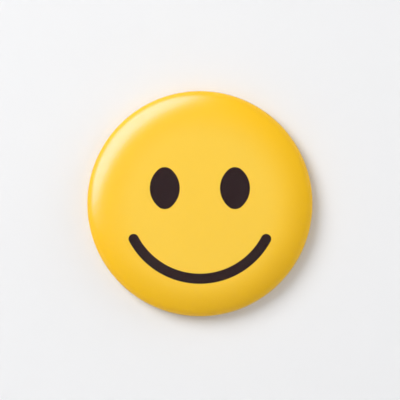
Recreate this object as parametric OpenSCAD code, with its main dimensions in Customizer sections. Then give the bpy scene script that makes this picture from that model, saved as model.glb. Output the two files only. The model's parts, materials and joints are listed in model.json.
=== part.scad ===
// Round pin-back button badge, standing as it is worn: the face looks along -Y,
// +Z is up, and the origin is the middle of the plane that the rolled rim rests on.
// Every piece is drawn face up (x right, y up the face, z towards the viewer)
// and as_worn() then stands it up.

/* [Badge] */
// Outside diameter, over the film
badge_d = 38; // [32:0.5:58]
// Radius of the tight shoulder where the face turns down into the side
shoulder_r = 2.6; // [2.2:0.1:3.4]
// Radius of the easy curve between the face and the shoulder
ease_r = 8.7; // [6:0.1:12]
// Slope of the face where the easy curve ends and the shoulder starts, in degrees
ease_tilt = 35; // [25:1:45]
// Slope of the face where its crown ends and the easy curve starts, in degrees
crown_tilt = 3.5; // [2.5:0.1:5]
// Radius of the edge rolled over at the back
rear_r = 1.4; // [1.2:0.05:2]
// Width of the flat ring that the closing die leaves on the back
rim_flat_w = 1.2; // [0.8:0.1:2]
// Radius inside the shell's edge where it turns in on the back plate
tuck_in_r = 0.2; // [0.1:0.05:0.4]

/* [Layers] */
// Thickness of the clear film
film_t = 0.1; // [0.08:0.01:0.14]
// Thickness of the printed paper
paper_t = 0.15; // [0.1:0.01:0.2]
// Thickness of the printed ink, let into the paper
ink_t = 0.03; // [0.02:0.01:0.06]
// Thickness of the front shell's tinplate
shell_t = 0.3; // [0.2:0.05:0.35]

/* [Print] */
// Distance between the middles of the eyes
eye_spacing = 11.7; // [9:0.1:14]
// Height of the eyes' middles above the middle of the face
eye_raise = 2.6; // [1:0.1:4]
// Width of an eye
eye_w = 5; // [3:0.1:6]
// Height of an eye
eye_h = 7; // [6.5:0.1:9]
// Radius of the smile, to the middle of its stroke
smile_r = 12.5; // [10:0.1:13.5]
// Width of the smile's stroke
smile_w = 1.7; // [1:0.1:2.5]
// Radius of the smile's round ends
smile_end_r = 0.88; // [0.6:0.02:1.5]
// Angle from straight down to each end of the smile
smile_half_angle = 62; // [40:1:75]

/* [Back plate] */
// Thickness of the back plate's tinplate
plate_t = 0.3; // [0.2:0.05:0.35]
// Step in from the tucked edge to the wall of the recess
recess_step = 1.05; // [0.9:0.05:2]
// Radius of the corner between the recess's wall and its floor
recess_corner_r = 0.8; // [0.4:0.1:1]
// Radius inside the small bends of the flange and skirt
plate_bend_r = 0.3; // [0.2:0.05:0.4]
// Clearance between the skirt and the inside of the shell
skirt_gap = 0.45; // [0.3:0.05:0.7]
// Distance from the recess's wall to the middle of the pressed bead
bead_inset = 2; // [1.9:0.1:3]
// Radius of the bead's groove
bead_r = 0.5; // [0.3:0.05:0.6]
// Clearance between the bead and the inside of the face
dome_gap = 0.25; // [0.15:0.05:0.5]
// Length of the raised pad under the pin
pad_l = 10.4; // [8:0.2:12]
// Margin of the pad above and below the pin's fixed leg
pad_margin = 1.1; // [0.8:0.1:1.6]
// Radius of the pad's corners
pad_corner_r = 0.9; // [0.5:0.1:1.2]
// Distance between the middles of the two straps
strap_spacing = 6.4; // [4:0.2:7]
// Width of each strap
strap_w = 1.8; // [1:0.1:2]

/* [Pin] */
// Diameter of the spring wire
wire_d = 0.8; // [0.6:0.02:1]
// Height of the fixed leg above the middle of the badge
leg_y = 5; // [4.5:0.1:6]
// Radius of the spring coil, to the middle of the wire
coil_r = 1.6; // [1.3:0.1:2]
// Gap between the coil's two turns
coil_gap = 0.04; // [0.02:0.01:0.1]
// Angle at which the arm leaves the coil before it bends level
arm_splay = 12; // [8:1:16]
// Length of the arm's ground point
point_l = 4.7; // [4.2:0.1:5.5]
// Clearance from each end of the pin to the wall of the recess
pin_end_gap = 1.5; // [1:0.1:3]
// Running clearance of the wire in the straps
strap_gap = 0.06; // [0.03:0.01:0.1]
// Clearance between the clasp and the recess's floor, so that the pin can swing
swing_gap = 0.55; // [0.45:0.05:0.8]

/* [Clasp] */
// Length of the clasp
clasp_l = 5; // [4.8:0.1:6]
// Thickness of the clasp's sheet
clasp_t = 0.2; // [0.15:0.01:0.25]
// Clearance between the arm and the clasp
clasp_gap = 0.08; // [0.05:0.01:0.15]
// Reach of the clasp's walls past the arm
clasp_reach = 0.4; // [0.3:0.05:0.8]
// Radius of the folds and of the rounded nose
clasp_round_r = 0.6; // [0.4:0.05:0.7]

/* [Hidden] */

round_fn = 120;     // facets of a turned piece
arc_fn = 72;        // facets of a small arc
crown_fn = 1440;    // facets of the face's very large circle
ease_fn = 240;      // facets of the easy curve's circle
wire_fn = 32;       // facets round the wire
past = 1;           // how far a cutting shape runs past what it cuts

// Skins: the film, the paper and the shell lie one in the other
badge_r = badge_d / 2;
skin_t = film_t + paper_t + shell_t;
shoulder_x = badge_r - shoulder_r;
ease_x = shoulder_x - (ease_r - shoulder_r) * sin(ease_tilt);
ease_z = rear_r - (ease_r - shoulder_r) * cos(ease_tilt);
crown_r = ease_r + ease_x / sin(crown_tilt);
crown_z = ease_z - (crown_r - ease_r) * cos(crown_tilt);
badge_h = crown_z + crown_r;
crown_foot_x = ease_x + (rear_r - ease_z) * tan(crown_tilt);
crown_edge = [(crown_r + past) * sin(crown_tilt), crown_z + (crown_r + past) * cos(crown_tilt)];
ease_edge = [ease_x + (ease_r + past) * sin(ease_tilt), ease_z + (ease_r + past) * cos(ease_tilt)];
tuck_r = tuck_in_r + skin_t;
tuck_x = badge_r - rear_r - rim_flat_w;

// Back plate
recess_r = tuck_x - tuck_r - recess_step;
bead_x = recess_r - bead_inset;
dome_z = min(
    crown_z + sqrt(pow(crown_r - skin_t, 2) - pow(bead_x, 2)),
    ease_z + sqrt(pow(ease_r - skin_t, 2) - pow(max(bead_x - ease_x, 0), 2))
);
floor_z = dome_z - dome_gap - bead_r - plate_t;
plate_out_r = plate_t + plate_bend_r;
skirt_r = badge_r - skin_t - skirt_gap;
skirt_end_gap = 0.1; // clearance of the skirt's edge under the shoulder
skirt_top_z = rear_r + sqrt(pow(shoulder_r - skin_t, 2) - pow(skirt_r - shoulder_x, 2)) - skirt_end_gap;

// Pin
wire_r = wire_d / 2;
leg_z = floor_z - swing_gap - clasp_t - wire_r;
arm_z = leg_z - wire_d - coil_gap;
pad_z = leg_z + wire_r + strap_gap;
strap_in_r = wire_r + strap_gap;
pin_top_y = leg_y + wire_r + clasp_t;
pin_half_l = sqrt(pow(recess_r - pin_end_gap, 2) - pow(pin_top_y, 2));
coil_x = coil_r + wire_r - pin_half_l;
coil_y = leg_y - coil_r;
coil_turn = 290;    // degrees of coil on the leg's turn and on the arm's turn
splay_from = [coil_x - coil_r * sin(arm_splay), coil_y - coil_r * cos(arm_splay)];
knee_x = coil_x + coil_r + wire_r + wire_d;
splay_l = (knee_x - splay_from.x) / cos(arm_splay);
arm_y = splay_from.y - splay_l * sin(arm_splay);
knee_r = wire_r + 0.01;     // the arm's bend is a ball, a hair proud of the wire
clasp_x = pin_half_l - clasp_l;
point_end_x = pin_half_l - clasp_t - clasp_gap;
point_x = point_end_x - point_l;
point_tip_r = 0.03;

// Clasp, between its rear wall's outside and its front wall's outside
clasp_rear_z = arm_z - wire_r - clasp_gap - clasp_t;
clasp_front_z = leg_z + wire_r + clasp_t;
clasp_low_y = arm_y - wire_r - clasp_reach;
clasp_slot_y = leg_y - wire_r - clasp_t;
clasp_lip_z = arm_z + wire_r + clasp_gap;
nose_r = 2 * clasp_round_r;
nose_lift = 0.04;   // the nose's curve runs out a little above the folds, so it meets them at an angle
nose_x = pin_half_l - nose_r;
nose_y = pin_top_y - nose_r + nose_lift;

// Stands a piece up as it is worn
module as_worn() {
    rotate([90, 0, 0])
        children();
}

// Half section of everything inside the badge's skin, taken in by a depth below its outside
module skin_section(depth) {
    intersection() {
        translate([0, crown_z])
            circle(r = crown_r - depth, $fn = crown_fn);
        polygon([[0, rear_r], [crown_foot_x, rear_r], crown_edge, [0, badge_h + past]]);
    }
    intersection() {
        translate([ease_x, ease_z])
            circle(r = ease_r - depth, $fn = ease_fn);
        polygon([[crown_foot_x, rear_r], [shoulder_x, rear_r], ease_edge, crown_edge]);
    }
    intersection() {
        translate([shoulder_x, rear_r])
            circle(r = shoulder_r - depth, $fn = arc_fn);
        polygon([
            [shoulder_x, rear_r],
            [badge_r + past, rear_r],
            [badge_r + past, badge_h + past],
            ease_edge
        ]);
    }
    intersection() {
        translate([badge_r - rear_r, rear_r])
            circle(r = rear_r - depth, $fn = arc_fn);
        translate([badge_r - rear_r, 0])
            square([rear_r, rear_r]);
    }
    translate([tuck_x, depth])
        square([rim_flat_w, rear_r - depth]);
    intersection() {
        translate([tuck_x, tuck_r])
            circle(r = tuck_r - depth, $fn = arc_fn);
        translate([tuck_x - tuck_r, 0])
            square([tuck_r, tuck_r]);
    }
    translate([tuck_x - tuck_r + depth, tuck_r])
        square([tuck_r - depth, rear_r - tuck_r]);
}

// One skin, between two depths below the badge's outside
module skin(outer, inner) {
    rotate_extrude($fn = round_fn)
        difference() {
            skin_section(outer);
            skin_section(inner);
        }
}

// Clear polyester film, drawn over the face and tucked in at the back
module film_cover() {
    color([1, 1, 1, 0.25])
        as_worn()
            skin(0, film_t);
}

// Paper disc with the artwork, under the film; the ink lies in its face
module printed_paper() {
    color("#fac93f")
        as_worn()
            difference() {
                skin(film_t, film_t + paper_t);
                print_depth(film_t / 2) {
                    eye_outlines();
                    smile_outline();
                }
            }
}

// Part of the face between a depth and the bottom of the ink, inside an outline
module print_depth(from) {
    intersection() {
        skin(from, film_t + ink_t);
        translate([0, 0, rear_r])
            linear_extrude(height = badge_h)
                children();
    }
}

// Two upright ovals, each of four tangent arcs
module eye_outlines() {
    end_r = eye_w / 3;
    end_y = eye_h / 2 - end_r;
    end_inset = eye_w / 2 - end_r;
    side_x = (pow(end_y, 2) - pow(end_inset, 2)) / (2 * end_inset);
    side_r = side_x + eye_w / 2;
    join_y = end_y * side_r / (side_r - end_r);
    for (side = [-1, 1])
        translate([side * eye_spacing / 2, eye_raise]) {
            intersection() {
                translate([side_x, 0])
                    circle(r = side_r, $fn = round_fn);
                translate([-side_x, 0])
                    circle(r = side_r, $fn = round_fn);
                square([eye_w + past, 2 * join_y], center = true);
            }
            for (end = [-1, 1])
                translate([0, end * end_y])
                    circle(r = end_r, $fn = arc_fn);
        }
}

// A plain arc with round ends, set round the middle of the face
module smile_outline() {
    reach = badge_r / cos(smile_half_angle / 2);
    intersection() {
        difference() {
            circle(r = smile_r + smile_w / 2, $fn = round_fn);
            circle(r = smile_r - smile_w / 2, $fn = round_fn);
        }
        polygon([
            [0, 0],
            [-reach * sin(smile_half_angle), -reach * cos(smile_half_angle)],
            [-reach * sin(smile_half_angle / 2), -reach * cos(smile_half_angle / 2)],
            [0, -reach],
            [reach * sin(smile_half_angle / 2), -reach * cos(smile_half_angle / 2)],
            [reach * sin(smile_half_angle), -reach * cos(smile_half_angle)]
        ]);
    }
    for (side = [-1, 1])
        translate([side * smile_r * sin(smile_half_angle), -smile_r * cos(smile_half_angle)])
            circle(r = smile_end_r, $fn = arc_fn);
}

// Ink of the eyes
module printed_eyes() {
    color("#3a2b2e")
        as_worn()
            print_depth(film_t)
                eye_outlines();
}

// Ink of the smile
module printed_smile() {
    color("#3a2b2e")
        as_worn()
            print_depth(film_t)
                smile_outline();
}

// Domed tinplate shell, its edge rolled over the back plate
module front_shell() {
    color("#b9bcc0")
        as_worn()
            skin(film_t + paper_t, skin_t);
}

// Half section of everything in front of the plate's rear face, taken in by a depth:
// the flange and skirt are round at their corners, the recess and its bead are left out
module plate_region(depth) {
    bend_x = recess_r + plate_out_r;
    bend_z = rear_r + plate_out_r;
    difference() {
        union() {
            translate([0, bend_z])
                square([skirt_r - depth, badge_h - bend_z]);
            translate([bend_x, rear_r + depth])
                square([skirt_r - plate_out_r - bend_x, badge_h - rear_r]);
            for (x = [bend_x, skirt_r - plate_out_r])
                translate([x, bend_z])
                    circle(r = plate_out_r - depth, $fn = arc_fn);
        }
        recess_section(depth);
    }
}

// Half section of the recess and its bead, grown by a depth
module recess_section(depth) {
    corner_x = recess_r - recess_corner_r;
    corner_z = floor_z - recess_corner_r;
    translate([-past, 0])
        square([corner_x + past, floor_z + depth]);
    translate([-past, 0])
        square([recess_r + depth + past, corner_z]);
    translate([corner_x, corner_z])
        circle(r = recess_corner_r + depth, $fn = arc_fn);
    translate([bead_x, floor_z])
        circle(r = bead_r + depth, $fn = arc_fn);
}

// Half section of the pressed plate: floor with its bead, wall, flange and skirt
module plate_section() {
    difference() {
        plate_region(0);
        plate_region(plate_t);
        translate([recess_r + plate_t + plate_bend_r, skirt_top_z])
            square([badge_r, badge_h]);
        translate([-past, floor_z + bead_r + plate_t + dome_gap])
            square([badge_r + past, badge_h]);
    }
}

// Outline of the raised pad, taken in by a margin
module pad_outline(inset) {
    corner_x = pad_l / 2 - pad_corner_r;
    corner_y = wire_r + pad_margin - pad_corner_r;
    translate([0, leg_y]) {
        square([2 * corner_x, 2 * (corner_y + pad_corner_r - inset)], center = true);
        square([2 * (corner_x + pad_corner_r - inset), 2 * corner_y], center = true);
        for (side = [-1, 1], end = [-1, 1])
            translate([side * corner_x, end * corner_y])
                circle(r = pad_corner_r - inset, $fn = arc_fn);
    }
}

// Raised pad: its top and the wall down to the floor
module pad() {
    translate([0, 0, pad_z])
        linear_extrude(height = plate_t)
            pad_outline(0);
    translate([0, 0, pad_z])
        linear_extrude(height = floor_z + plate_t - pad_z)
            difference() {
                pad_outline(0);
                pad_outline(plate_t);
            }
}

// Strap pushed out of the pad over the fixed leg, with round shoulders
module strap() {
    rotate([90, 0, 90])
        linear_extrude(height = strap_w, center = true)
            difference() {
                union() {
                    translate([leg_y, leg_z])
                        circle(r = strap_in_r + plate_t, $fn = arc_fn);
                    translate([leg_y - strap_in_r - plate_t, leg_z])
                        square([2 * (strap_in_r + plate_t), pad_z + plate_t - leg_z]);
                }
                translate([leg_y, leg_z])
                    circle(r = strap_in_r, $fn = arc_fn);
                translate([leg_y - strap_in_r, leg_z])
                    square([2 * strap_in_r, pad_z + plate_t + past - leg_z]);
            }
}

// Pressed tinplate back with the recess, the pad and the two straps that hold the pin
module back_plate() {
    color("#c9cbcd")
        as_worn() {
            difference() {
                union() {
                    difference() {
                        rotate_extrude($fn = round_fn)
                            plate_section();
                        translate([0, 0, pad_z])
                            linear_extrude(height = floor_z + past)
                                pad_outline(plate_t);
                    }
                    pad();
                }
                for (side = [-1, 1])
                    translate([side * strap_spacing / 2 - strap_w / 2, leg_y - strap_in_r, pad_z - past])
                        cube([strap_w, 2 * strap_in_r, plate_t + 2 * past]);
            }
            for (side = [-1, 1])
                translate([side * strap_spacing / 2, 0, 0])
                    strap();
        }
}

// Straight stretch of wire along x, from the origin
module wire_run(length) {
    rotate([0, 90, 0])
        cylinder(r = wire_r, h = length, $fn = wire_fn);
}

// Coil turn that ends at the origin, going along x, and has turned to the left
module wire_coil() {
    translate([0, coil_r, 0])
        rotate([0, 0, -90])
            rotate_extrude(angle = -coil_turn, $fn = arc_fn)
                translate([coil_r, 0])
                    circle(r = wire_r, $fn = wire_fn);
}

// Fixed leg of the safety pin with the front turn of its coil
module pin_leg_wire() {
    color("#d4d4d0")
        as_worn()
            translate([coil_x, leg_y, leg_z]) {
                wire_run(nose_x - coil_x);
                mirror([0, 1, 0])
                    wire_coil();
            }
}

// Sprung arm of the safety pin: the rear turn of the coil, the splay, the arm and its point
module pin_arm_wire() {
    color("#d4d4d0")
        as_worn()
            translate([knee_x, arm_y, arm_z]) {
                rotate([0, 0, -arm_splay])
                    translate([-splay_l, 0, 0]) {
                        wire_coil();
                        wire_run(splay_l);
                    }
                rotate([0, 90, 0])
                    sphere(r = knee_r, $fn = arc_fn);
                wire_run(point_x - knee_x);
                translate([point_x - knee_x, 0, 0])
                    rotate([0, 90, 0])
                        cylinder(r1 = wire_r, r2 = point_tip_r, h = point_l, $fn = wire_fn);
            }
}

// Clasp's section across the wire: flat walls and two rounded folds at the top
module clasp_section() {
    for (z = [clasp_rear_z + clasp_round_r, clasp_front_z - clasp_round_r])
        translate([pin_top_y - clasp_round_r, z])
            circle(r = clasp_round_r, $fn = arc_fn);
    translate([clasp_low_y, clasp_rear_z])
        square([pin_top_y - clasp_round_r - clasp_low_y, clasp_front_z - clasp_rear_z]);
    translate([clasp_low_y, clasp_rear_z + clasp_round_r])
        square([pin_top_y - clasp_low_y, clasp_front_z - clasp_rear_z - 2 * clasp_round_r]);
}

// Section of the slot that the arm rests in: open below, behind a lip turned in from the front wall
module slot_section() {
    translate([clasp_low_y + clasp_t, clasp_rear_z + clasp_t])
        square([clasp_slot_y - clasp_low_y - clasp_t, clasp_front_z - clasp_rear_z - 2 * clasp_t]);
    translate([clasp_low_y - past, clasp_rear_z + clasp_t])
        square([2 * past, clasp_lip_z - clasp_rear_z - clasp_t]);
}

// Clasp's outline seen from behind, with its rounded nose, taken in by a margin
module clasp_outline(inset) {
    translate([clasp_x - past, clasp_low_y - past])
        square([nose_x - clasp_x + past, pin_top_y - clasp_low_y + 2 * past]);
    translate([nose_x - past, clasp_low_y - past])
        square([nose_r - inset + past, nose_y - clasp_low_y + past]);
    translate([nose_x, nose_y])
        circle(r = nose_r - inset, $fn = arc_fn);
}

// What a section along the wire and an outline from behind have in common
module clasp_block(from_x, inset) {
    intersection() {
        translate([from_x, 0, 0])
            rotate([90, 0, 90])
                linear_extrude(height = pin_half_l - from_x + past)
                    children();
        translate([0, 0, clasp_rear_z - past])
            linear_extrude(height = clasp_front_z - clasp_rear_z + 2 * past)
                clasp_outline(inset);
    }
}

// Sheet-metal clasp, crimped on the end of the fixed leg; the arm's point rests in its slot
module pin_clasp() {
    color("#cfcfca")
        as_worn()
            difference() {
                clasp_block(clasp_x, 0)
                    clasp_section();
                clasp_block(clasp_x - past, clasp_t)
                    slot_section();
                translate([clasp_x - past, leg_y, leg_z])
                    rotate([0, 90, 0])
                        cylinder(r = wire_r, h = nose_x - clasp_x + past, $fn = wire_fn);
            }
}

film_cover();
printed_paper();
printed_eyes();
printed_smile();
front_shell();
back_plate();
pin_leg_wire();
pin_arm_wire();
pin_clasp();
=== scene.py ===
import json
import math

import bmesh
import bpy
from mathutils import Matrix, Vector


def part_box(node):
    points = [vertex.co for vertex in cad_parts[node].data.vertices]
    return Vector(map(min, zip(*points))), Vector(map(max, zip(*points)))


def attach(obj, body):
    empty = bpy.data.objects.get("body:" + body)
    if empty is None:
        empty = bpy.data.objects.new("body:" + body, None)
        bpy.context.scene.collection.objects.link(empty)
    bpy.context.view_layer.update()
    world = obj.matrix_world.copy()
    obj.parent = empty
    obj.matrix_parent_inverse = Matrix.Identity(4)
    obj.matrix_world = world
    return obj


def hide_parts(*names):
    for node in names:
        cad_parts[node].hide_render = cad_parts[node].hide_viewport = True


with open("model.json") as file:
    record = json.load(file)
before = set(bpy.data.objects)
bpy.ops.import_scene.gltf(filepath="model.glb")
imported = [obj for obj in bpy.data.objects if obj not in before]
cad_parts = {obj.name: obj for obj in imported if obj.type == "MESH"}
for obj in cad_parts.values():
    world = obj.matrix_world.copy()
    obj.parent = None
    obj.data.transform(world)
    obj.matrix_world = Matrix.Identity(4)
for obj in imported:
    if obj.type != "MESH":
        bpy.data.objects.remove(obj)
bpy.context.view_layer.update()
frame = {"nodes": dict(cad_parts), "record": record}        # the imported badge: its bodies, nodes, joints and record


# Clear film: a disc of polyester foil, 0.1 mm thick, drawn over the printed paper by the
# badge press. Its edge is rolled round the back with the paper and turned in on the back
# plate, and there the two gather into small pleats.
MM = 0.001
film_low, film_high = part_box("film_cover")
BADGE_R = (film_high.x - film_low.x) / 2
CROWN_TILT = math.radians(3.5)  # slope where the nearly flat crown of the face ends
EASE_R = 8.7 * MM               # easy curve between the crown and the shoulder
EASE_TILT = math.radians(35)    # slope where the easy curve ends
SHOULDER_R = 2.6 * MM           # tight shoulder where the face turns down into the side
REAR_R = 1.4 * MM               # edge rolled over at the back
RIM_FLAT = 1.2 * MM             # flat ring that the closing die leaves
TUCK_R = 0.75 * MM              # turn of the tucked edge
FILM_T = 0.1 * MM
SLIP = 0.01 * MM                # air between the film and the paper
PLEAT_DEPTH = 0.12 * MM
PLEATS_AROUND = 110
PLEATS_START = 1.1              # turn of the skin where the pleats start, in right angles
PLEATS_FULL = 1.9               # turn where they are as deep as they get
SEGMENTS = 720                  # facets round the badge

SHOULDER_X = BADGE_R - SHOULDER_R
RIM_X = BADGE_R - REAR_R
TUCK_X = RIM_X - RIM_FLAT
EASE_X = SHOULDER_X - (EASE_R - SHOULDER_R) * math.sin(EASE_TILT)
EASE_Z = REAR_R - (EASE_R - SHOULDER_R) * math.cos(EASE_TILT)
CROWN_R = EASE_R + EASE_X / math.sin(CROWN_TILT)
CROWN_Z = EASE_Z - (CROWN_R - EASE_R) * math.cos(CROWN_TILT)


def skin_line(depth):
    """Half section of the badge at a depth under the film's face, from the middle of the
    face to the tucked edge: radius, height, way out, and share of the pleats."""
    quarter = math.pi / 2
    # Each arc's middle, its height and radius, its first and last angle, and its steps.
    arcs = (
        (0, CROWN_Z, CROWN_R, 0, CROWN_TILT, 16),
        (EASE_X, EASE_Z, EASE_R, CROWN_TILT, EASE_TILT, 12),
        (SHOULDER_X, REAR_R, SHOULDER_R, EASE_TILT, quarter, 12),
        (RIM_X, REAR_R, REAR_R, quarter, 2 * quarter, 12),
        (TUCK_X, TUCK_R, TUCK_R, 2 * quarter, 3 * quarter, 8),
    )
    line = []
    for middle, height, radius, start, end, steps in arcs:
        for step in range(steps + 1):
            angle = start + (end - start) * step / steps
            out = (math.sin(angle), math.cos(angle))
            point = (middle + (radius - depth) * out[0], height + (radius - depth) * out[1])
            share = (angle / quarter - PLEATS_START) / (PLEATS_FULL - PLEATS_START)
            share = min(max(share, 0), 1)
            if line and math.dist(point, line[-1][0]) < SLIP / 10:
                continue
            line.append((point, out, share * share * (3 - 2 * share)))
    line.append(((TUCK_X - TUCK_R + depth, REAR_R), (-1, 0), 1))
    return line


def turned_wall(name, outside, inside):
    """A closed wall between two half sections, turned about the badge's axis. The
    attribute inward says how far each point may be gathered in."""
    ring_points = outside[1:] + inside[:0:-1]
    points = [(0, -outside[0][0][1], 0)]
    inward = [(0, 0, 0)]
    faces = []
    for (radius, height), (out_r, out_z), share in ring_points:
        for segment in range(SEGMENTS):
            turn = 2 * math.pi * segment / SEGMENTS
            x, z = math.cos(turn), math.sin(turn)
            points.append((radius * x, -height, radius * z))
            inward.append((-share * out_r * x, share * out_z, -share * out_r * z))
    points.append((0, -inside[0][0][1], 0))
    inward.append((0, 0, 0))
    last = len(points) - 1
    for segment in range(SEGMENTS):
        after = (segment + 1) % SEGMENTS
        faces.append((0, 1 + segment, 1 + after))
        for ring in range(len(ring_points) - 1):
            here = 1 + ring * SEGMENTS
            there = here + SEGMENTS
            faces.append((here + segment, there + segment, there + after, here + after))
        faces.append((last - SEGMENTS + segment, last, last - SEGMENTS + after))
    mesh = bpy.data.meshes.new(name)
    mesh.from_pydata(points, [], faces)
    layer = mesh.attributes.new("inward", "FLOAT_VECTOR", "POINT")
    layer.data.foreach_set("vector", [part for way in inward for part in way])
    return placed(name, mesh)


def placed(name, mesh, sharp_angle=50):
    """An object at the origin for a mesh, with its faces pointing outwards and shaded smooth
    up to an angle in degrees."""
    shape = bmesh.new()
    shape.from_mesh(mesh)
    bmesh.ops.recalc_face_normals(shape, faces=shape.faces)
    shape.to_mesh(mesh)
    shape.free()
    mesh.shade_smooth()
    mesh.set_sharp_from_angle(angle=math.radians(sharp_angle))
    piece = bpy.data.objects.new(name, mesh)
    bpy.context.scene.collection.objects.link(piece)
    return piece


class Signal:
    """One output in a node tree. Sums on it add Math nodes, and put() adds any other node."""

    def __init__(self, tree, socket=None):
        self.tree = tree
        self.socket = socket

    def put(self, kind, settings=None, values=None, out=0):
        """Adds a node: first its settings, then the values or signals of its sockets."""
        node = self.tree.nodes.new(kind)
        for key, value in (settings or {}).items():
            setattr(node, key, value)
        for key, value in (values or {}).items():
            if isinstance(value, Signal):
                self.tree.links.new(value.socket, node.inputs[key])
            else:
                node.inputs[key].default_value = value
        return Signal(self.tree, node.outputs[out] if len(node.outputs) else None)

    def other(self, name):
        """Another output of the same node."""
        return Signal(self.tree, self.socket.node.outputs[name])

    def sum(self, operation, *values):
        return self.put("ShaderNodeMath", {"operation": operation}, dict(enumerate(values)))

    def vector(self, operation, *values):
        return self.put("ShaderNodeVectorMath", {"operation": operation}, dict(enumerate(values)))

    def scaled(self, vector, scale):
        """A vector or colour times a number."""
        return self.put(
            "ShaderNodeVectorMath", {"operation": "SCALE"}, {"Vector": vector, "Scale": scale}
        )

    def noise(self, place, scale, detail):
        values = {"Vector": place, "Scale": scale, "Detail": detail}
        return self.put("ShaderNodeTexNoise", {}, values)

    def stretched(self, place, scale, tilt=0):
        """A pattern's place, turned about the badge's axis by an angle in degrees and scaled."""
        values = {"Vector": place, "Rotation": (0, math.radians(tilt), 0), "Scale": scale}
        return self.put("ShaderNodeMapping", {}, values)

    def ramp(self, value, start, end, low=0.0, high=1.0):
        """A soft step from low to high between two values."""
        values = {"Value": value, "From Min": start, "From Max": end, "To Min": low, "To Max": high}
        return self.put("ShaderNodeMapRange", {"interpolation_type": "SMOOTHSTEP"}, values)

    def bump(self, height, depth, strength):
        values = {"Strength": strength, "Distance": depth, "Height": height}
        return self.put("ShaderNodeBump", {}, values, "Normal")

    def finish(self, values):
        """The surface shader, and the tree's output."""
        shader = self.put("ShaderNodeBsdfPrincipled", {}, values)
        self.put("ShaderNodeOutputMaterial", {}, {"Surface": shader})

    def __add__(self, value):
        return self.sum("ADD", self, value)

    def __sub__(self, value):
        return self.sum("SUBTRACT", self, value)

    def __rsub__(self, value):
        return self.sum("SUBTRACT", value, self)

    def __mul__(self, value):
        return self.sum("MULTIPLY", self, value)

    def __truediv__(self, value):
        return self.sum("DIVIDE", self, value)

    def __rtruediv__(self, value):
        return self.sum("DIVIDE", value, self)

    def __pow__(self, value):
        return self.sum("POWER", self, value)

    def __rpow__(self, value):
        return self.sum("POWER", value, self)

    __radd__ = __add__
    __rmul__ = __mul__


def gathered_edge():
    """Geometry Nodes tree that presses irregular creases into the rolled edge."""
    tree = bpy.data.node_groups.new("gathered_edge", "GeometryNodeTree")
    tree.interface.new_socket(name="Geometry", in_out="OUTPUT", socket_type="NodeSocketGeometry")
    for name, kind in (
        ("Geometry", "NodeSocketGeometry"),
        ("Pleat Depth", "NodeSocketFloat"),
        ("Pleats Around", "NodeSocketFloat"),
        ("Seed", "NodeSocketVector"),
        ("Material", "NodeSocketMaterial"),
    ):
        tree.interface.new_socket(name=name, in_out="INPUT", socket_type=kind)
    pen = Signal(tree)
    given = pen.put("NodeGroupInput")
    place = pen.put("GeometryNodeInputPosition")
    ring = pen.vector("NORMALIZE", pen.vector("MULTIPLY", place, (1, 0, 1)))
    ring = pen.scaled(ring, given.other("Pleats Around") / (2 * math.pi))
    spot = pen.vector("ADD", ring, given.other("Seed"))
    edge = pen.put(
        "ShaderNodeTexVoronoi",
        {"feature": "DISTANCE_TO_EDGE", "voronoi_dimensions": "3D"},
        {"Vector": spot, "Scale": 1.0, "Randomness": 0.8},
    )
    crease = pen.ramp(edge, 0.0, 0.3, low=1.0, high=0.0)
    strength = pen.noise(spot, 0.6, 1.0)
    inward = pen.put(
        "GeometryNodeInputNamedAttribute", {"data_type": "FLOAT_VECTOR"}, {"Name": "inward"}
    )
    offset = pen.scaled(inward, given.other("Pleat Depth") * crease * (0.3 + 0.9 * strength))
    shape = pen.put(
        "GeometryNodeSetPosition", {}, {"Geometry": given.other("Geometry"), "Offset": offset}
    )
    shape = pen.put("GeometryNodeRealizeInstances", {}, {"Geometry": shape})
    shape = pen.put(
        "GeometryNodeSetMaterial", {}, {"Geometry": shape, "Material": given.other("Material")}
    )
    pen.put("NodeGroupOutput", {}, {"Geometry": shape})
    return tree


def made_plain(piece):
    """Takes the piece's modifiers into its mesh."""
    bpy.context.view_layer.update()
    solid = piece.evaluated_get(bpy.context.evaluated_depsgraph_get())
    mesh = bpy.data.meshes.new_from_object(solid)
    piece.modifiers.clear()
    piece.data = mesh
    return piece


def gather(piece, material):
    """Presses the pleats into a turned wall, and gives it its material."""
    tree = bpy.data.node_groups.get("gathered_edge") or gathered_edge()
    pleats = piece.modifiers.new("pleats", "NODES")
    pleats.node_group = tree
    wanted = {
        "Pleat Depth": PLEAT_DEPTH,
        "Pleats Around": float(PLEATS_AROUND),
        "Seed": (3.1, 4.7, 1.9),
        "Material": material,
    }
    for item in tree.interface.items_tree:
        if item.in_out == "INPUT" and item.name in wanted:
            pleats[item.identifier] = wanted[item.name]
    return made_plain(piece)


def new_finish(name):
    """An empty material, and the pen that writes its nodes."""
    material = bpy.data.materials.new(name)
    material.use_nodes = True
    material.node_tree.nodes.clear()
    return material, Signal(material.node_tree)


def clear_film():
    """Clear satin foil: it mirrors a few hundredths of the light, and more when seen
    aslant, with a faint waviness from the drawing and soft smears from handling."""
    material, pen = new_finish("clear_film")
    place = pen.put("ShaderNodeTexCoord").other("Object")
    aslant = pen.put("ShaderNodeLayerWeight", {}, {"Blend": 0.5}).other("Facing")
    waves = pen.noise(place, 420.0, 2.0)
    smears = pen.noise(place, 90.0, 4.0)
    pen.finish({
        "Base Color": (0.97, 0.98, 1.0, 1),
        "Metallic": 1.0,
        "Roughness": 0.27 + 0.08 * smears,
        "Alpha": 0.018 + 0.15 * aslant**5,
        "Normal": pen.bump(waves, 0.02 * MM, 0.25),
    })
    return material


film = turned_wall("clear_film_skin", skin_line(0), skin_line(FILM_T - SLIP))
gather(film, clear_film())
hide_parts("film_cover")
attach(film, "badge")


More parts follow.
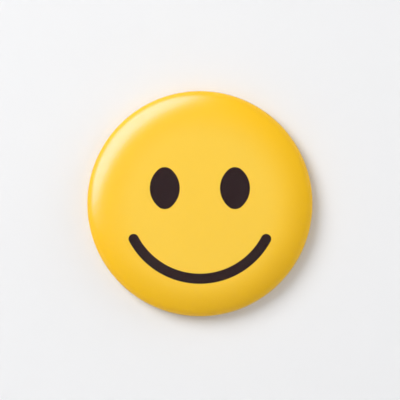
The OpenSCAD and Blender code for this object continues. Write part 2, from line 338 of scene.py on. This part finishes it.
# Printed paper: a disc of coated white paper printed solid yellow, laid under the film and
# rolled over with it. The print bleeds round the back, so the rolled edge is yellow too. From
# the shoulder on, the yellow is painted a shade deeper: painted shade for the turning shoulder.
PAPER_T = 0.15 * MM
YELLOW = (0.97, 0.62, 0.055)
# Painted shade: the deeper yellow that the print is given towards the rim, over the shoulder.
PAINTED_SHADE_YELLOW = (0.96, 0.545, 0.002)
PAINTED_SHADE_FROM = 0.55     # shares of the badge's radius between which the painted shade deepens the yellow
PAINTED_SHADE_TO = 0.95


def yellow_print_and_painted_shade():
    """Yellow under the film, with the paper's faint clouds and fibres, and painted shade that deepens it towards the
    rim.
    """
    material, pen = new_finish("yellow_print_and_painted_shade")
    place = pen.put("ShaderNodeTexCoord").other("Object")
    cloud = pen.noise(place, 160.0, 3.0)
    fibre = pen.noise(place, 2600.0, 2.0)
    out = pen.vector("LENGTH", pen.vector("MULTIPLY", place, (1, 0, 1))).other("Value") / BADGE_R
    # Painted shade: the yellow is mixed deeper towards the rim, where the shoulder turns from the light.
    colour = pen.put(
        "ShaderNodeMix",
        {"data_type": "RGBA"},
        {
            "Factor": pen.ramp(out, PAINTED_SHADE_FROM, PAINTED_SHADE_TO),
            "A": (*YELLOW, 1),
            "B": (*PAINTED_SHADE_YELLOW, 1),
        },
        "Result",
    )
    pen.finish({
        "Base Color": pen.scaled(colour, 0.975 + 0.03 * cloud + 0.02 * fibre),
        "Roughness": 0.5 + 0.06 * cloud,
        "Specular IOR Level": 0.0,
        "Normal": pen.bump(fibre, 0.01 * MM, 0.2),
    })
    return material


# The pleats are in the paper's face only: its back lies flat on the shell.
paper_back = [(point, out, 0) for point, out, share in skin_line(FILM_T + PAPER_T)]
paper = turned_wall("yellow_paper_disc", skin_line(FILM_T), paper_back)
gather(paper, yellow_print_and_painted_shade())
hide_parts("printed_paper")
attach(paper, "badge")


# Dark print: two upright ovals for the eyes and a plain arc for the smile, a layer of dark
# brown ink, standing a few thousandths of a millimetre proud of the paper's coating.
eyes_low, eyes_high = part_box("printed_eyes")
INK_PROUD = SLIP / 2
INK_T = 0.03 * MM
EYE_W = 5 * MM
EYE_H = eyes_high.z - eyes_low.z
EYE_Z = (eyes_high.z + eyes_low.z) / 2
EYE_X = eyes_high.x - EYE_W / 2
SMILE_R = 12.5 * MM
SMILE_W = 1.7 * MM
SMILE_ANGLE = math.radians(62)  # from straight down to each end
END_CUT = 0.2                   # share of a row that is left off a round end, to blunt its tip
INK = (0.017, 0.0025, 0.002)


def ink_patch(stations, columns=10):
    """Points and faces of a thin layer on the face. Each station is the middle of a line
    across the patch, the line's direction and half its length."""
    points = []
    for depth in (FILM_T - INK_PROUD, FILM_T + INK_T):
        for (mid_x, mid_z), (way_x, way_z), half in stations:
            for column in range(columns + 1):
                along = half * (2 * column / columns - 1)
                x, z = mid_x + along * way_x, mid_z + along * way_z
                points.append((x, -CROWN_Z - math.sqrt((CROWN_R - depth) ** 2 - x * x - z * z), z))
    wide, under = columns + 1, len(points) // 2
    faces = []
    for row in range(len(stations) - 1):
        for column in range(columns):
            corner = row * wide + column
            loop = (corner, corner + 1, corner + 1 + wide, corner + wide)
            faces.append(loop)
            faces.append(tuple(point + under for point in reversed(loop)))
    rim = list(range(wide))
    rim += [row * wide + columns for row in range(1, len(stations))]
    rim += [(len(stations) - 1) * wide + column for column in range(columns - 1, -1, -1)]
    rim += [row * wide for row in range(len(stations) - 2, 0, -1)]
    for here, after in zip(rim, rim[1:] + rim[:1]):
        faces.append((here, here + under, after + under, after))
    return points, faces


def oval_stations(centre_x, rows=40):
    """An upright oval of four arcs, cut into lines from its foot to its top."""
    end_r = EYE_W / 3
    end_z = EYE_H / 2 - end_r
    inset = EYE_W / 2 - end_r
    side_x = (end_z**2 - inset**2) / (2 * inset)
    side_r = side_x + EYE_W / 2
    join_z = end_z * side_r / (side_r - end_r)
    stations = []
    for row in range(rows + 1):
        height = -EYE_H / 2 * math.cos(math.pi * (row + END_CUT) / (rows + 2 * END_CUT))
        if abs(height) < join_z:
            half = math.sqrt(side_r**2 - height**2) - side_x
        else:
            half = math.sqrt(max(end_r**2 - (abs(height) - end_z) ** 2, 0))
        stations.append(((centre_x, EYE_Z + height), (1, 0), half))
    return stations


def smile_stations(rows=72, cap_rows=10):
    """A stroke along an arc, with half-round ends."""
    half = SMILE_W / 2
    turns = []
    for row in range(cap_rows):
        corner = math.pi / 2 * (row + END_CUT / 2) / cap_rows
        turns.append((-SMILE_ANGLE - half / SMILE_R * math.cos(corner), math.sin(corner)))
    turns += [(SMILE_ANGLE * (2 * row / rows - 1), 1) for row in range(rows + 1)]
    turns += [(-turn, share) for turn, share in reversed(turns[:cap_rows])]
    return [
        (
            (SMILE_R * math.sin(turn), -SMILE_R * math.cos(turn)),
            (math.sin(turn), -math.cos(turn)),
            half * share,
        )
        for turn, share in turns
    ]


def ink_piece(name, patches):
    """One object made of several patches."""
    points, faces = [], []
    for patch_points, patch_faces in patches:
        faces += [tuple(point + len(points) for point in face) for face in patch_faces]
        points += patch_points
    mesh = bpy.data.meshes.new(name)
    mesh.from_pydata(points, [], faces)
    return placed(name, mesh)


def dark_ink():
    """Flat brown-black ink, laid down a little unevenly."""
    material, pen = new_finish("dark_ink")
    place = pen.put("ShaderNodeTexCoord").other("Object")
    cloud = pen.noise(place, 300.0, 4.0)
    grain = pen.noise(place, 3200.0, 1.0)
    pen.finish({
        "Base Color": pen.scaled(INK, 0.85 + 0.3 * cloud),
        "Roughness": 0.45 + 0.1 * cloud,
        "Specular IOR Level": 0.0,
        "Normal": pen.bump(grain, 0.004 * MM, 0.2),
    })
    return material


ink = dark_ink()
eye_ink = ink_piece("eye_ink", [ink_patch(oval_stations(side * EYE_X)) for side in (-1, 1)])
smile_ink = ink_piece("smile_ink", [ink_patch(smile_stations())])
for piece, node in ((eye_ink, "printed_eyes"), (smile_ink, "printed_smile")):
    piece.data.materials.append(ink)
    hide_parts(node)
    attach(piece, "badge")


# Front shell and back plate: both pressed from 0.3 mm tinplate. The shell is shut in under
# the paper. The plate has a recess with a bead round it, a raised pad, and two straps
# lanced out of the pad that hold the pin; its cut and folded edges are slightly rounded.
CUT_EDGE_R = 0.05 * MM
CRISP_ANGLE = math.radians(42)      # an edge that turns more than this is rounded
TINPLATE = (0.62, 0.63, 0.63)


def tinplate():
    """Rolled and tinned sheet: fine grain along the strip, soft clouds in the tin, and
    a few hair scratches from handling."""
    material, pen = new_finish("tinplate")
    place = pen.put("ShaderNodeTexCoord").other("Object")
    grain = pen.noise(pen.stretched(place, (90, 2600, 2600)), 1.0, 3.0)
    cloud = pen.noise(place, 210.0, 5.0)
    scratch = pen.ramp(pen.noise(pen.stretched(place, (60, 60, 900), 38), 1.0, 2.0), 0.66, 0.74)
    pen.finish({
        "Base Color": pen.scaled(TINPLATE, 0.9 + 0.1 * cloud + 0.06 * grain + 0.08 * scratch),
        "Metallic": 1.0,
        "Roughness": 0.24 + 0.14 * cloud + 0.08 * grain,
        "Normal": pen.bump(grain - 0.6 * scratch, 0.006 * MM, 0.5),
    })
    return material


def rounded_copy(name, node, edge_r):
    """A piece with a CAD node's shape, its sharp edges rounded to edge_r. Its normals are
    weighted by area, so that the rounding doesn't shade the flats."""
    mesh = frame["nodes"][node].data.copy()
    if "custom_normal" in mesh.attributes:
        mesh.attributes.remove(mesh.attributes["custom_normal"])
    mesh.materials.clear()
    shape = bmesh.new()
    shape.from_mesh(mesh)
    bmesh.ops.remove_doubles(shape, verts=shape.verts, dist=0.0005 * MM)
    flat_angle = math.radians(0.5)
    bmesh.ops.dissolve_limit(shape, angle_limit=flat_angle, verts=shape.verts, edges=shape.edges)
    shape.to_mesh(mesh)
    shape.free()
    mesh.shade_smooth()
    piece = bpy.data.objects.new(name, mesh)
    bpy.context.scene.collection.objects.link(piece)
    rounding = piece.modifiers.new("rounding", "BEVEL")
    rounding.width = edge_r
    rounding.segments = 3
    rounding.limit_method = "ANGLE"
    rounding.angle_limit = CRISP_ANGLE
    flats = piece.modifiers.new("flats", "WEIGHTED_NORMAL")
    flats.weight = 100
    return made_plain(piece)


tin = tinplate()
shell = frame["nodes"]["front_shell"]
shell.data.materials.clear()
shell.data.materials.append(tin)

plate = rounded_copy("pressed_back_plate", "back_plate", CUT_EDGE_R)
plate.data.materials.append(tin)
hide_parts("back_plate")
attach(plate, "badge")


# Safety pin: one length of hard-drawn, nickel-plated spring wire, in two pieces here
# because the coil lets them turn. The fixed leg lies under the straps with the front turn
# of the coil; the sprung arm has the rear turn, a small bend and a ground point.
leg_low, leg_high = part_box("pin_leg_wire")
arm_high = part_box("pin_arm_wire")[1]
WIRE_R = (leg_high.y - leg_low.y) / 2
LEG_Y = (leg_high.y + leg_low.y) / 2
LEG_Z = leg_high.z - WIRE_R
COIL_R = (LEG_Z - leg_low.z - WIRE_R) / 2
COIL_X = leg_low.x + WIRE_R + COIL_R
COIL_Z = LEG_Z - COIL_R
COIL_TURN = math.radians(290)
ARM_SPLAY = math.radians(12)
ARM_MOUNT = next(mount for mount in frame["record"]["mounts"] if mount["name"] == "pin_arm")
ARM_Y, ARM_Z = ARM_MOUNT["pos_m"][1:]
BEND_R = 1.5 * MM
POINT_L = 4.7 * MM
POINT_TIP_R = 0.03 * MM
POINT_CURVE = 1.25      # 1 is a plain cone; more makes the ground point rounder
CUT_END_R = 0.55        # shares of the wire's radius: the dome of a cut end
CUT_END_L = 0.25
WIRE_SIDES = 28
NICKEL = (0.71, 0.69, 0.65)


def coil_route(level, start, end, steps=72):
    """Points along the coil between two angles, on one level of the badge's depth."""
    turns = [start + (end - start) * step / steps for step in range(steps + 1)]
    return [
        Vector((COIL_X + COIL_R * math.cos(turn), level, COIL_Z + COIL_R * math.sin(turn)))
        for turn in turns
    ]


def domed_end(place, way, radius, reached, side):
    """The small ring that domes a cut end: side is -1 at the wire's start, 1 at its end."""
    return place + side * CUT_END_L * radius * way, way, CUT_END_R * radius, reached


def drawn_wire(name, route, radii):
    """A round wire along a flat route, with domed cut ends. Its map runs once round it, and
    along it in millimetres."""
    across = Vector((0, 1, 0))
    points, faces, along = [], [], []
    rings = []
    length = 0
    for index, (place, radius) in enumerate(zip(route, radii)):
        before, after = route[max(index - 1, 0)], route[min(index + 1, len(route) - 1)]
        way = (after - before).normalized()
        length += (place - before).length
        rings.append((place, way, radius, length))
    rings = [domed_end(*rings[0], -1), *rings, domed_end(*rings[-1], 1)]
    for place, way, radius, reached in rings:
        side = way.cross(across)
        for corner in range(WIRE_SIDES):
            turn = 2 * math.pi * corner / WIRE_SIDES
            points.append(place + radius * (math.cos(turn) * across + math.sin(turn) * side))
            along.append((corner / WIRE_SIDES, reached / MM))
    for ring in range(len(rings) - 1):
        for corner in range(WIRE_SIDES):
            after = (corner + 1) % WIRE_SIDES
            here, there = ring * WIRE_SIDES, (ring + 1) * WIRE_SIDES
            faces.append((here + corner, here + after, there + after, there + corner))
    faces.append(tuple(range(WIRE_SIDES))[::-1])
    faces.append(tuple(range(len(points) - WIRE_SIDES, len(points))))
    mesh = bpy.data.meshes.new(name)
    mesh.from_pydata(points, [], faces)
    chart = mesh.uv_layers.new(name="wire_map")
    for loop in mesh.loops:
        chart.data[loop.index].uv = along[loop.vertex_index]
    return placed(name, mesh, 60)


def nickel_wire():
    """Drawn and nickel-plated wire: fine lines along it from the die, and dull specks."""
    material, pen = new_finish("nickel_wire")
    chart = pen.put("ShaderNodeUVMap", {"uv_map": "wire_map"})
    place = pen.put("ShaderNodeTexCoord").other("Object")
    lines = pen.noise(pen.stretched(chart, (26, 0.35, 1)), 1.0, 3.0)
    specks = pen.noise(place, 1500.0, 3.0)
    pen.finish({
        "Base Color": pen.scaled(NICKEL, 0.92 + 0.08 * lines + 0.06 * specks),
        "Metallic": 1.0,
        "Roughness": 0.12 + 0.1 * specks + 0.08 * lines,
        "Normal": pen.bump(lines, 0.004 * MM, 0.5),
    })
    return material


def straight(start, end, steps):
    """Points from just past the start to the end."""
    start, end = Vector(start), Vector(end)
    return [start + (end - start) * step / steps for step in range(1, steps + 1)]


leg_route = coil_route(LEG_Y, math.pi / 2 + COIL_TURN, math.pi / 2)
leg_route += straight((COIL_X, LEG_Y, LEG_Z), (leg_high.x, LEG_Y, LEG_Z), steps=30)[:-1]
fixed_leg = drawn_wire("fixed_leg_wire", leg_route, [WIRE_R] * len(leg_route))

# The arm leaves its coil aslant, bends level, runs straight, and ends in the ground point.
splay_turn = 1.5 * math.pi - ARM_SPLAY
arm_route = coil_route(ARM_Y, splay_turn - COIL_TURN, splay_turn)
leaves = arm_route[-1]
splay_l = (leaves.z - ARM_Z) / math.sin(ARM_SPLAY)
splay_way = Vector((math.cos(ARM_SPLAY), 0, -math.sin(ARM_SPLAY)))
bend_cut = BEND_R * math.tan(ARM_SPLAY / 2)
level_x = (leaves + splay_way * splay_l).x + bend_cut
arm_route += straight(leaves, leaves + splay_way * (splay_l - bend_cut), steps=12)
bend_steps = 6
for step in range(1, bend_steps + 1):
    turn = ARM_SPLAY * (1 - step / bend_steps)
    x, rise = level_x - BEND_R * math.sin(turn), BEND_R * (1 - math.cos(turn))
    arm_route.append(Vector((x, ARM_Y, ARM_Z + rise)))
point_x = arm_high.x - POINT_L
arm_route += straight((level_x, ARM_Y, ARM_Z), (point_x, ARM_Y, ARM_Z), steps=30)
arm_radii = [WIRE_R] * len(arm_route)
point_route = straight(
    (point_x, ARM_Y, ARM_Z), (arm_high.x - POINT_TIP_R, ARM_Y, ARM_Z), steps=24
)
for step, place in enumerate(point_route, 1):
    ground = 1 - (step / len(point_route)) ** POINT_CURVE
    arm_route.append(place)
    arm_radii.append(POINT_TIP_R + (WIRE_R - POINT_TIP_R) * ground)
sprung_arm = drawn_wire("sprung_arm_wire", arm_route, arm_radii)

nickel = nickel_wire()
for piece, node, body in (
    (fixed_leg, "pin_leg_wire", "safety_pin"),
    (sprung_arm, "pin_arm_wire", "pin_arm"),
):
    piece.data.materials.append(nickel)
    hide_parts(node)
    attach(piece, body)


# Clasp: folded from thin nickel-plated sheet, crimped on the end of the fixed leg. The
# arm's point springs into its slot.
FOLD_EDGE_R = 0.05 * MM
SHEET_NICKEL = (0.72, 0.70, 0.66)


def nickel_sheet():
    """Nickel-plated sheet, tumbled after it was folded: many tiny crossing scratches."""
    material, pen = new_finish("nickel_sheet")
    place = pen.put("ShaderNodeTexCoord").other("Object")
    one_way, other_way = (
        pen.ramp(pen.noise(pen.stretched(place, (260, 260, 3600), tilt), 1.0, 2.0), cut, cut + 0.08)
        for tilt, cut in ((25, 0.64), (-50, 0.66))
    )
    marks = one_way + other_way
    cloud = pen.noise(place, 700.0, 4.0)
    pen.finish({
        "Base Color": pen.scaled(SHEET_NICKEL, 0.93 + 0.09 * cloud),
        "Metallic": 1.0,
        "Roughness": 0.16 + 0.1 * cloud + 0.1 * marks,
        "Normal": pen.bump(cloud - 0.5 * marks, 0.004 * MM, 0.5),
    })
    return material


clasp = rounded_copy("sheet_clasp", "pin_clasp", FOLD_EDGE_R)
clasp.data.materials.append(nickel_sheet())
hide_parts("pin_clasp")
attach(clasp, "safety_pin")


# Studio: the badge hangs against a pale wall that stands on a pale floor. The wall is clear
# from behind and has a round opening behind the badge, so that the pin can be looked at.
WALL_W = 0.9
FLOOR_Z = -0.06
FLOOR_W = 1.6
OPENING_R = RIM_X - 0.1 * MM
WALL_PALE = (0.86, 0.863, 0.874, 1)
FLOOR_PALE = (0.5, 0.5, 0.5, 1)


def pale_paper(name, pale, one_sided):
    """Matt paper with a fine tooth. A one-sided sheet is clear from behind."""
    material, pen = new_finish(name)
    place = pen.put("ShaderNodeTexCoord").other("Object")
    tooth = pen.noise(place, 500.0, 3.0)
    shader = pen.put(
        "ShaderNodeBsdfPrincipled",
        {},
        {
            "Base Color": pale,
            "Roughness": 0.9,
            "Specular IOR Level": 0.0,
            "Normal": pen.bump(tooth, 0.02 * MM, 0.1),
        },
    )
    if one_sided:
        rear = pen.put("ShaderNodeNewGeometry").other("Backfacing")
        clear = pen.put("ShaderNodeBsdfTransparent")
        shader = pen.put("ShaderNodeMixShader", {}, {0: rear, 1: shader, 2: clear})
    pen.put("ShaderNodeOutputMaterial", {}, {"Surface": shader})
    return material


def wall_mesh():
    """A wall with a round opening: rings of points from the opening out to its edge."""
    sides = 96
    rings = (OPENING_R, 2.5 * OPENING_R, 6 * OPENING_R, WALL_W)
    points, faces = [], []
    for ring, radius in enumerate(rings):
        for side in range(sides):
            turn = 2 * math.pi * side / sides
            points.append((radius * math.cos(turn), 0, max(radius * math.sin(turn), FLOOR_Z)))
            if ring:
                here, after = (ring - 1) * sides + side, (ring - 1) * sides + (side + 1) % sides
                faces.append((here, here + sides, after + sides, after))
    mesh = bpy.data.meshes.new("wall")
    mesh.from_pydata(points, [], faces)
    return mesh


wall = bpy.data.objects.new("wall", wall_mesh())
wall.data.materials.append(pale_paper("wall_paper", WALL_PALE, True))
floor_mesh = bpy.data.meshes.new("floor")
floor_mesh.from_pydata(
    [(x * FLOOR_W, y * FLOOR_W, FLOOR_Z) for x, y in ((-1, -1), (1, -1), (1, 1), (-1, 1))],
    [],
    [(0, 1, 2, 3)],
)
floor = bpy.data.objects.new("floor", floor_mesh)
floor.data.materials.append(pale_paper("floor_paper", FLOOR_PALE, False))
for part in (wall, floor):
    bpy.context.scene.collection.objects.link(part)


# Light: a soft box high on the left in front, which gives the shade and the shadow, a wide
# cool one further round, which only the gloss shows, a weak one on the right to fill, a pair
# behind for the back, and an even pale room.
def soft_box(name, toward, distance, width, length, power):
    """A soft box that faces the badge. Its length runs round the badge's axis."""
    lamp = bpy.data.lights.new(name, "AREA")
    lamp.shape = "ELLIPSE"
    lamp.size = length
    lamp.size_y = width
    lamp.energy = power
    away = Vector(toward).normalized()
    around = Vector((-away.z, 0, away.x)).normalized()
    box = bpy.data.objects.new(name, lamp)
    box.location = away * distance
    box.rotation_mode = "QUATERNION"
    turn = Matrix((around, away.cross(around), away)).transposed()
    box.rotation_quaternion = turn.to_quaternion()
    box.visible_camera = False
    bpy.context.scene.collection.objects.link(box)
    return box


key = soft_box(
    "key_box", toward=(-0.55, -0.695, 0.45), distance=1.0, width=0.62, length=0.62, power=7.3
)
key.visible_glossy = False
sheen = soft_box(
    "sheen_box", toward=(-0.687, -0.342, 0.641), distance=0.9, width=0.8, length=1.7, power=46
)
sheen.visible_diffuse = False
sheen.data.color = (0.5, 0.6, 1.0)
fill = soft_box(
    "fill_box", toward=(0.86, -0.31, 0.4), distance=1.0, width=0.8, length=0.8, power=2.3
)
fill.visible_glossy = False
soft_box(
    "rear_box_left", toward=(-0.5, 0.75, 0.45), distance=0.7, width=0.4, length=0.4, power=2.0
)
soft_box(
    "rear_box_right", toward=(0.8, 0.5, 0.1), distance=0.7, width=0.3, length=0.3, power=1.2
)

# The room is seen brighter than it lights, so that the badge keeps its shade.
room = bpy.data.worlds.new("room")
room.use_nodes = True
room.node_tree.nodes.clear()
pen = Signal(room.node_tree)
lit = pen.put("ShaderNodeBackground", {}, {"Color": (1, 1, 1, 1), "Strength": 0.44})
seen = pen.put("ShaderNodeBackground", {}, {"Color": (1, 1, 1, 1), "Strength": 0.9})
sight = pen.put("ShaderNodeLightPath").other("Is Camera Ray")
surface = pen.put("ShaderNodeMixShader", {}, {0: sight, 1: lit, 2: seen})
pen.put("ShaderNodeOutputWorld", {}, {"Surface": surface})
bpy.context.scene.world = room
bpy.context.scene.view_settings.view_transform = "Standard"


# Camera: square on to the face, from half a metre.
CAMERA_FAR = 0.5
VIEW_W = 1.767 * 2 * BADGE_R    # the badge fills a little over half of the frame
AIM_X = 0.02 * MM
AIM_Z = 0.62 * MM
camera = bpy.data.objects.new("camera", bpy.data.cameras.new("camera"))
camera.data.lens = camera.data.sensor_width * CAMERA_FAR / VIEW_W
camera.location = (AIM_X, -REAR_R - CAMERA_FAR, AIM_Z)
camera.rotation_euler = (math.pi / 2, 0, 0)
bpy.context.scene.collection.objects.link(camera)
bpy.context.scene.camera = camera
